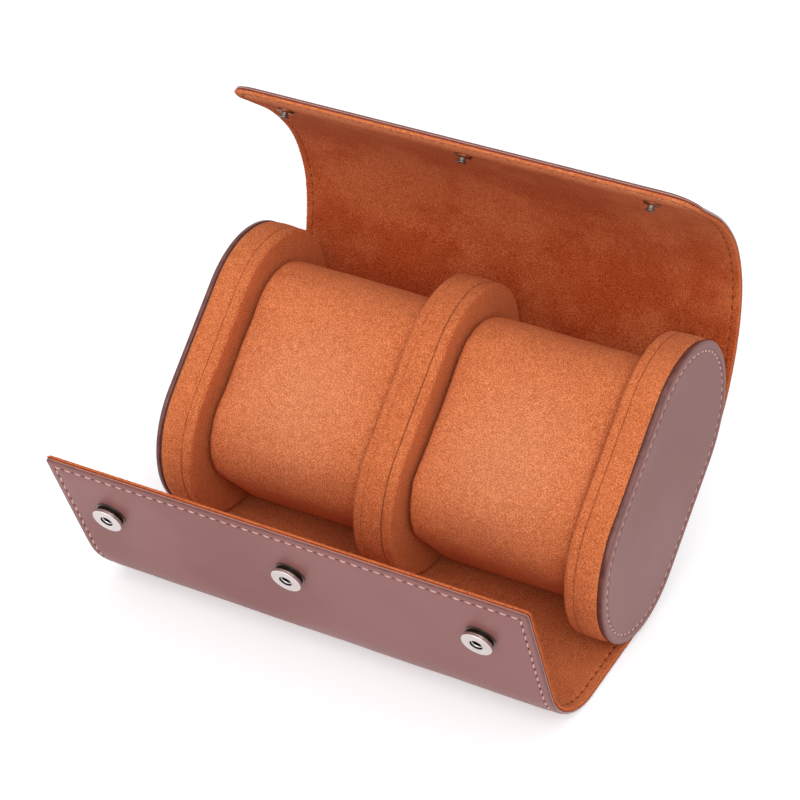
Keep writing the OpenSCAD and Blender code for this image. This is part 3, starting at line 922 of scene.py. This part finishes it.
def plate(name, profile, material, seams=(), sway=0.0, seed=0):
    """A closed round-ended solid. Profile: (distance in from the outline, x). Seams: (x, strength
    of their painted shade).
    """
    centre, direction, _ = stadium(PLATE_R)
    rings = []
    for d, x in profile:
        uv = centre + (PLATE_R - d) * direction
        rings.append(np.stack([np.full(len(uv), x), uv[:, 0], uv[:, 1]], 1))
    points = np.concatenate(rings)
    if sway:
        size = np.repeat(np.linspace(0, 1, len(profile)), len(centre))
        lift = sway * (waves(points, 22, seed) - 0.6)
        shell = np.tile(direction, (len(profile), 1))
        room = np.repeat([min(1, (d + 0.4) / 1.5) for d, _ in profile], len(centre))
        points[:, 1:] += (lift * room * (size > 0) * (size < 1))[:, None] * shell
    faces = ring_faces(len(profile), len(centre))
    if profile[0][1] > profile[-1][1]:
        faces = [f[::-1] for f in faces]
    world = in_case(points[:, 0], points[:, 1], points[:, 2])
    obj = make_object(name, world, faces, [material])
    seam = np.zeros(len(points))
    for at, depth in seams:
        near = 1 - np.minimum(np.abs(points[:, 0] - at) / SEAM_REACH, 1)
        seam = np.maximum(seam, depth * near)
    d = np.repeat([d for d, _ in profile], len(centre))
    add_attributes(
        obj,
        rim=d + END_RIM_SHIFT if material is END_LEATHER_SHADED else np.full(len(d), NO_RIM),
        seam=seam * (d < SEAM_DEEPEST),
        worn=np.zeros(len(d)),
        rich=np.full(len(d), PAD_PAINTED_SHADE),
    )
    mark_sharp(obj, PLATE_SHARP_TURN)
    return obj


def arc(d, x, r, start, end, count=7):
    """Profile points on an arc about (d, x), angles from the way into the plate towards +x."""
    turn = np.radians(np.linspace(start, end, count))
    return [(d - r * math.cos(t), x + r * math.sin(t)) for t in turn]


def pad_profile(low, high, low_r, high_r, crown):
    """A pad from x = low to x = high with rounded shoulders and a crowned rim."""
    face_rings = (PLATE_CORE, 14, 7, 4.5)
    points = [(d, low) for d in face_rings] + arc(low_r, low + low_r, low_r, -90, 0)
    run = np.linspace(low + low_r, high - high_r, 9)[1:-1]
    t = (run - low - low_r) / max(high - high_r - low - low_r, 1e-6)
    points += [(-crown * 4 * k * (1 - k), x) for k, x in zip(t, run)]
    points += arc(high_r, high - high_r, high_r, 0, 90)
    return points + [(d, high) for d in face_rings[::-1]]


def face_profile(low, high, low_r, high_r):
    """A pad on a wall's face: its rim stands a little in from the band's, and has no crown."""
    profile = pad_profile(low, high, low_r, high_r, 0.0)
    return [(d + FACE_INSET if d < 5 else d, x) for d, x in profile]


def mirrored(profile, side):
    return [(d, side * x) for d, x in profile]


def pad(name, node, profile, seams, seed):
    """A suede pad of a wall, which stands for one CAD node."""
    obj = plate(name, profile, SUEDE, seams, PAD_SWAY, seed)
    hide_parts(node)
    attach(obj, "case")


def build_end(side, word):
    """One end wall: stitched leather outside, then the padded band and the padded inner face."""
    outer = CASE_LEN / 2
    leather_in = outer - END_LEATHER_T
    face_in = leather_in - END_BOARD_T - END_BAND_T - END_FACE_T
    seam_x = face_in + END_FACE_T
    cut = [(PLATE_CORE, leather_in), (6, leather_in), (0.9, leather_in)]
    cut += arc(0.3, leather_in + 0.3, 0.3, -90, 0, 5)
    cut += arc(0.75, outer - 0.55, 0.75, 0, 78, 8)
    run = np.array([1.1, 1.6, 2.1, 2.5, 2.75, 2.95, 3.1, 3.2, 3.3, 3.45, 3.65, 3.9, 4.3, 5, 6, 8])
    height = END_RISE * np.where(run < END_STITCH_INSET, 0.75 + 0.25 * np.sin(run), 0.8)
    depth, width = END_GROOVE
    height = height - depth * np.exp(-(((run - END_STITCH_INSET) / width) ** 2))
    cut += [(d, outer + h) for d, h in zip(run, height)]
    cut += [(d, outer + k * END_RISE) for d, k in ((12, 0.8), (18, 0.7), (PLATE_CORE, 0.6))]
    panel = plate(f"{word}_end_panel", mirrored(cut, side), END_LEATHER_SHADED)
    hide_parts(f"{word}_end_leather")
    line = stadium(PLATE_R - END_STITCH_INSET)[2]
    places, angles, gap = spaced(np.concatenate([line, line[:1]]), END_STITCH_PITCH)

    def on_end(u, v, height, _side):
        return in_case(side * (outer - END_THREAD_SEAT + height), u, v)

    threads = stitched(f"{word}_end_stitches", places, angles, gap, on_end, (side,))
    for obj in (panel, threads):
        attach(obj, "case")
    band = mirrored(pad_profile(seam_x + 0.05, leather_in - 0.1, 0.6, 1.3, BAND_CROWN), side)
    seam = [(side * (seam_x + 0.05), 0.4)]
    pad(f"{word}_band_pad", f"{word}_pad_band", band, seam, 21 + side)
    face = mirrored(face_profile(face_in, seam_x + 0.1, 1.3, 0.4), side)
    seam = [(side * (seam_x + 0.1), 0.4)]
    pad(f"{word}_face_pad", f"{word}_pad_face", face, seam, 31 + side)


def build_divider():
    """A padded band between two padded faces. Its right seam has darker painted shade than its left
    one.
    """
    half = DIVIDER_BAND_T / 2
    band = pad_profile(-half + 0.05, half - 0.05, 0.35, 0.9, BAND_CROWN)
    pad("divider_band_pad", "divider_band", band, [(-half, 0.1), (half, 0.9)], 41)
    for side, word, seam_r, deep in ((-1, "left", 0.3, 0.1), (1, "right", 0.6, 0.9)):
        face = mirrored(face_profile(half - 0.1, half + DIVIDER_FACE_T, seam_r, 1.3), side)
        seam = [(side * half, deep)]
        pad(f"divider_{word}_pad", f"divider_{word}_face", face, seam, 51 + side)


# ---- cushions ----

CUSHION_LEN = 76.0
CUSHION_SINK = 5.6  # how far the cushion's front lies in from the walls' rims
CUSHION_GAP = 0.6  # to either wall
SEAT_R = ROUND_R - 0.4  # the cushion's back stays clear of the lining
CUSHION_CORNER_R = 20.0
BAY_LOW = DIVIDER_BAND_T / 2 + DIVIDER_FACE_T
BAY_HIGH = CASE_LEN / 2 - END_LEATHER_T - END_BOARD_T - END_BAND_T - END_FACE_T
CUSHION_W = BAY_HIGH - BAY_LOW - 2 * CUSHION_GAP
SIM_SCALE = 10.0  # the cloth solver works on the cushion at ten times its size
SIM_SHRINK = 0.7  # how much smaller the cushion starts
SIM_SHARE = 0.25  # how much of the swelling is kept
SIM_FRAMES = 20
SIM_CAP = 2.6  # the most that a point may swell before that share
VOXEL = 2.4
END_SQUARE = 1.22  # how strongly the ends are pressed flat against the walls
END_REACH = 0.995
FRONT_SWAY = 0.35
SIDE_SWAY = 0.2
# Painted light on each cushion's front: its strength, and how far its middle lies below the
# cushion's.
CUSHION_PAINTED_LIGHT = 0.8
PAINTED_LIGHT_LOW = 9.0


def cushion_side():
    """Side view in the walls' frame: round front corners and a back that follows the lining."""
    low = WALL_STRAIGHT / 2 - CUSHION_LEN / 2
    high = low + CUSHION_LEN
    front = ROUND_R - CUSHION_SINK
    r = CUSHION_CORNER_R
    points = []
    for a in np.radians(np.arange(90, 181, 6)):
        points.append((low + r + r * math.cos(a), front - r + r * math.sin(a)))
    meet = math.asin(-low / SEAT_R)
    for a in np.linspace(meet, 0, 12):
        points.append((-SEAT_R * math.sin(a), -SEAT_R * math.cos(a)))
    for a in np.linspace(0, meet, 12):
        points.append((WALL_STRAIGHT + SEAT_R * math.sin(a), -SEAT_R * math.cos(a)))
    for a in np.radians(np.arange(0, 91, 6)):
        points.append((high - r + r * math.cos(a), front - r + r * math.sin(a)))
    return np.array(points)


def apply_modifiers(obj):
    graph = bpy.context.evaluated_depsgraph_get()
    made = bpy.data.meshes.new_from_object(obj.evaluated_get(graph))
    obj.modifiers.clear()
    old = obj.data
    obj.data = made
    bpy.data.meshes.remove(old)


def coordinates(obj):
    co = np.zeros(len(obj.data.vertices) * 3)
    obj.data.vertices.foreach_get("co", co)
    return co.reshape(-1, 3)


def cushion_mesh():
    """The cushion about its own middle, SIM_SCALE times its size, swollen by the cloth solver."""
    side = cushion_side()
    middle = side.mean(0)
    shape = side - middle
    reach = np.linalg.norm(shape, axis=1)[:, None]
    shape = shape * (reach - SIM_SHRINK) / reach
    n = len(shape)
    ends = [np.full((n, 1), x) for x in (-CUSHION_W / 2 + SIM_SHRINK, CUSHION_W / 2 - SIM_SHRINK)]
    points = np.concatenate([np.hstack([e, shape]) for e in ends]) * SIM_SCALE
    faces = [list(range(n)), list(range(n, 2 * n))[::-1]]
    for i in range(n):
        k = (i + 1) % n
        faces.append([k, i, i + n, k + n])
    body = make_object("cushion_form", points, faces, [SUEDE])
    remesh = body.modifiers.new("remesh", "REMESH")
    remesh.mode = "VOXEL"
    remesh.voxel_size = VOXEL * SIM_SCALE * MM
    soften = body.modifiers.new("soften", "SMOOTH")
    soften.factor = 0.5
    soften.iterations = 7
    apply_modifiers(body)
    start = coordinates(body)
    cloth = body.modifiers.new("cloth", "CLOTH")
    settings = cloth.settings
    settings.quality = 6
    settings.mass = 0.3
    settings.tension_stiffness = 12
    settings.compression_stiffness = 12
    settings.shear_stiffness = 6
    settings.bending_stiffness = 3
    settings.use_pressure = True
    settings.uniform_pressure_force = 4
    settings.effector_weights.gravity = 0
    cloth.point_cache.frame_start = 1
    cloth.point_cache.frame_end = SIM_FRAMES
    for f in range(1, SIM_FRAMES + 1):
        bpy.context.scene.frame_set(f)
    apply_modifiers(body)
    bpy.context.scene.frame_set(1)
    now = coordinates(body)
    move = now - start
    far = np.linalg.norm(move, axis=1)[:, None]
    cap = SIM_CAP * SIM_SCALE * MM
    now = start + SIM_SHARE * move * np.minimum(1, cap / np.maximum(far, 1e-9))
    body.data.vertices.foreach_set("co", now.ravel())
    divide = body.modifiers.new("divide", "SUBSURF")
    divide.levels = divide.render_levels = 1
    apply_modifiers(body)
    return body, middle


def seat_cushion(form, middle, side, word):
    """A copy of the form in its bay: flat against the walls and the lining, full in front."""
    obj = bpy.data.objects.new(f"{word}_pillow", form.data.copy())
    bpy.context.scene.collection.objects.link(obj)
    p = coordinates(obj) / (SIM_SCALE * MM)
    if side > 0:
        p[:, 0] *= -1
    p[:, 1:] += middle
    front = smooth_step((p[:, 2] + 5) / 20)
    p[:, 2] += FRONT_SWAY * waves(p, 34, 61 + side) * front
    p[:, 1] += SIDE_SWAY * waves(p, 28, 71 + side) * front
    limit = CUSHION_W / 2
    p[:, 0] = limit * np.tanh(p[:, 0] / limit * END_SQUARE) / math.tanh(END_SQUARE) * END_REACH
    over = np.clip(p[:, 1], 0, WALL_STRAIGHT)
    arm = np.stack([p[:, 1] - over, p[:, 2]], 1)
    far = np.linalg.norm(arm, axis=1)
    held = (far > SEAT_R) & (p[:, 2] < 4)
    scale = np.where(held, SEAT_R / np.maximum(far, 1e-6), 1.0)
    p[:, 1] = over + arm[:, 0] * scale
    p[:, 2] = arm[:, 1] * scale
    bay = side * (BAY_LOW + BAY_HIGH) / 2
    world = in_case(p[:, 0] + bay, p[:, 1], p[:, 2]) * MM
    obj.data.vertices.foreach_set("co", world.ravel())
    if side > 0:
        obj.data.flip_normals()
    obj.data.polygons.foreach_set("use_smooth", [True] * len(obj.data.polygons))
    # Painted light, strongest a little below the middle of the cushion's front.
    middle_u = p[:, 1] - WALL_STRAIGHT / 2 + PAINTED_LIGHT_LOW
    brushed_nap_and_painted_light = np.exp(-((middle_u / 30) ** 2) - (p[:, 0] / 26) ** 2) * front
    add_attributes(
        obj,
        rim=np.full(len(p), NO_RIM),
        seam=np.zeros(len(p)),
        worn=CUSHION_PAINTED_LIGHT * brushed_nap_and_painted_light,
        rich=np.zeros(len(p)),
    )
    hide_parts(f"{word}_cushion")
    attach(obj, f"{word}_cushion")


def build_cushions():
    form, middle = cushion_mesh()
    for side, word in ((-1, "left"), (1, "right")):
        seat_cushion(form, middle, side, word)
    mesh = form.data
    bpy.data.objects.remove(form)
    bpy.data.meshes.remove(mesh)


# ---- CAD nodes that stay ----

SNAP_PITCH = 62.5
SNAP_SHIFT = -1.0  # of the middle snap, along the case
SOCKET_EDGE = 18.5  # from the flap's edge
SOCKET_BORE_R = 2.3
SOCKET_FOOT_HIGH = WRAP_T + 0.9
SOCKET_DISC_LOW = WRAP_T + 1.7
STUD_EDGE = 13.0  # from the lid's edge
STUD_NOSE_R = 1.7


def dress(node, *materials):
    """Gives a CAD node its materials."""
    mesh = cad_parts[node].data
    mesh.materials.clear()
    for material in materials:
        mesh.materials.append(material)
    return mesh


def shade_snaps(node, s, pick, *metals):
    """One row of snaps, each face in the metal that pick chooses by its reach and height."""
    mesh = dress(node, *metals)
    a = np.interp(s, PATH_S, PATH_A)
    out = Vector((0, math.sin(a), -math.cos(a)))
    y = np.interp(s, PATH_S, PATH_Y)
    z = np.interp(s, PATH_S, PATH_Z)
    for polygon in mesh.polygons:
        place = polygon.center / MM
        k = round((place.x - SNAP_SHIFT) / SNAP_PITCH)
        arm = place - Vector((SNAP_SHIFT + k * SNAP_PITCH, y, z))
        height = arm.dot(out)
        reach = (arm - out * height).length
        polygon.material_index = pick(reach, height)


def socket_metal(reach, height):
    """The bore and the waist carry painted shade, the foot a darker painted reflection, and the
    disc plain bright nickel.
    """
    if reach < SOCKET_BORE_R or SOCKET_FOOT_HIGH < height < SOCKET_DISC_LOW:
        return 2
    return int(height < SOCKET_DISC_LOW)


def stud_metal(reach, _height):
    """The nose carries a darker painted reflection, and the foot a painted reflection of the suede
    round it.
    """
    return int(reach > STUD_NOSE_R)


def dress_frame():
    dress("snap_springs", METAL)
    # The rivets deep in the bores carry painted shade.
    dress("snap_rivets", NICKEL_SHADE)
    dress("snap_caps", METAL)
    shade_snaps("snap_sockets", SOCKET_EDGE, socket_metal, METAL, NICKEL_DARK_REFLECTION, NICKEL_SHADE)
    shade_snaps("snap_studs", WRAP_LEN - STUD_EDGE, stud_metal, NICKEL_DARK_REFLECTION, NICKEL_SUEDE_REFLECTION)
    for node in ("left_end_board", "right_end_board"):
        dress(node, BOARD)


# ---- stage, light and camera ----

VIEW_AZIMUTH = math.radians(28.78)
VIEW_ELEVATION = math.radians(30.89)
VIEW_ROLL = math.radians(0.82)
VIEW_LENS = 126.0
VIEW_DISTANCE = 879.84
VIEW_TARGET = (-13.83, 12.85, 50.51)
SENSOR = 36.0


def build_camera():
    az, el = VIEW_AZIMUTH, VIEW_ELEVATION
    back = Vector((math.sin(az) * math.cos(el), -math.cos(az) * math.cos(el), math.sin(el)))
    camera = bpy.data.objects.new("camera", bpy.data.cameras.new("camera"))
    camera.data.lens = VIEW_LENS
    camera.data.sensor_width = SENSOR
    camera.data.clip_start = 0.05
    bpy.context.scene.collection.objects.link(camera)
    turn = back.to_track_quat("Z", "Y").to_matrix().to_4x4()
    camera.matrix_world = Matrix.Rotation(VIEW_ROLL, 4, back) @ turn
    camera.location = (Vector(VIEW_TARGET) + back * VIEW_DISTANCE) * MM
    bpy.context.scene.camera = camera


WORLD_LEVEL = 0.54
SKY_TONE = (1, 0.985, 0.965, 1)


def build_world():
    """White where the camera sees it, softer and a little warm as light."""
    world = bpy.data.worlds.new("studio")
    bpy.context.scene.world = world
    n = Nodes(world)
    level = n.make("MapRange", Value=n.seen_or_mirrored(), To_Min=WORLD_LEVEL, To_Max=1.0)
    sky = {"Color": SKY_TONE, "Strength": level.outputs["Result"]}
    n.feed(n.tree.nodes["Background"], sky)


FLOOR_HALF = 2500.0
FLOOR_TONE = (0.8, 0.81, 0.84, 1)
FLOOR_GLOW = 0.4


def build_floor():
    """A pale floor that keeps the shadow and glows a little where it is seen."""
    corners = FLOOR_HALF * np.array([(-1, -1, 0), (1, -1, 0), (1, 1, 0), (-1, 1, 0)])
    n = material_nodes("floor")
    floor = make_object("floor", corners, [[0, 1, 2, 3]], [n.owner])
    nodes = n.tree.nodes
    nodes.remove(nodes["Principled BSDF"])
    matt = n.make("BsdfDiffuse", Color=FLOOR_TONE)
    glow = n.make("Emission", Strength=n.math("MULTIPLY", n.seen_or_mirrored(), FLOOR_GLOW))
    both = n.make("AddShader")
    n.feed(both, {0: matt.outputs[0], 1: glow.outputs[0]})
    n.link(both.outputs[0], nodes["Material Output"].inputs["Surface"])


def sun(name, direction, strength, spread, colour=(1, 1, 1)):
    """A lamp that shines from a direction, its disc spread degrees wide."""
    lamp = bpy.data.lights.new(name, "SUN")
    lamp.energy = strength
    lamp.angle = math.radians(spread)
    lamp.color = colour
    obj = bpy.data.objects.new(name, lamp)
    obj.rotation_mode = "QUATERNION"
    obj.rotation_quaternion = Vector(direction).to_track_quat("Z", "Y")
    bpy.context.scene.collection.objects.link(obj)


def build_light():
    sun("key", (0.5, -0.8, 0.65), 1.5, 44, (1, 0.98, 0.95))
    sun("fill", (0.1, -0.2, 1.0), 0.35, 60)
    sun("front", (-0.1, -1.0, 0.3), 0.85, 60)


build_wrap()
for end_side, end_word in ((-1, "left"), (1, "right")):
    build_end(end_side, end_word)
build_divider()
build_cushions()
dress_frame()
build_floor()
build_world()
build_light()
build_camera()
bpy.context.scene.view_settings.view_transform = "Standard"
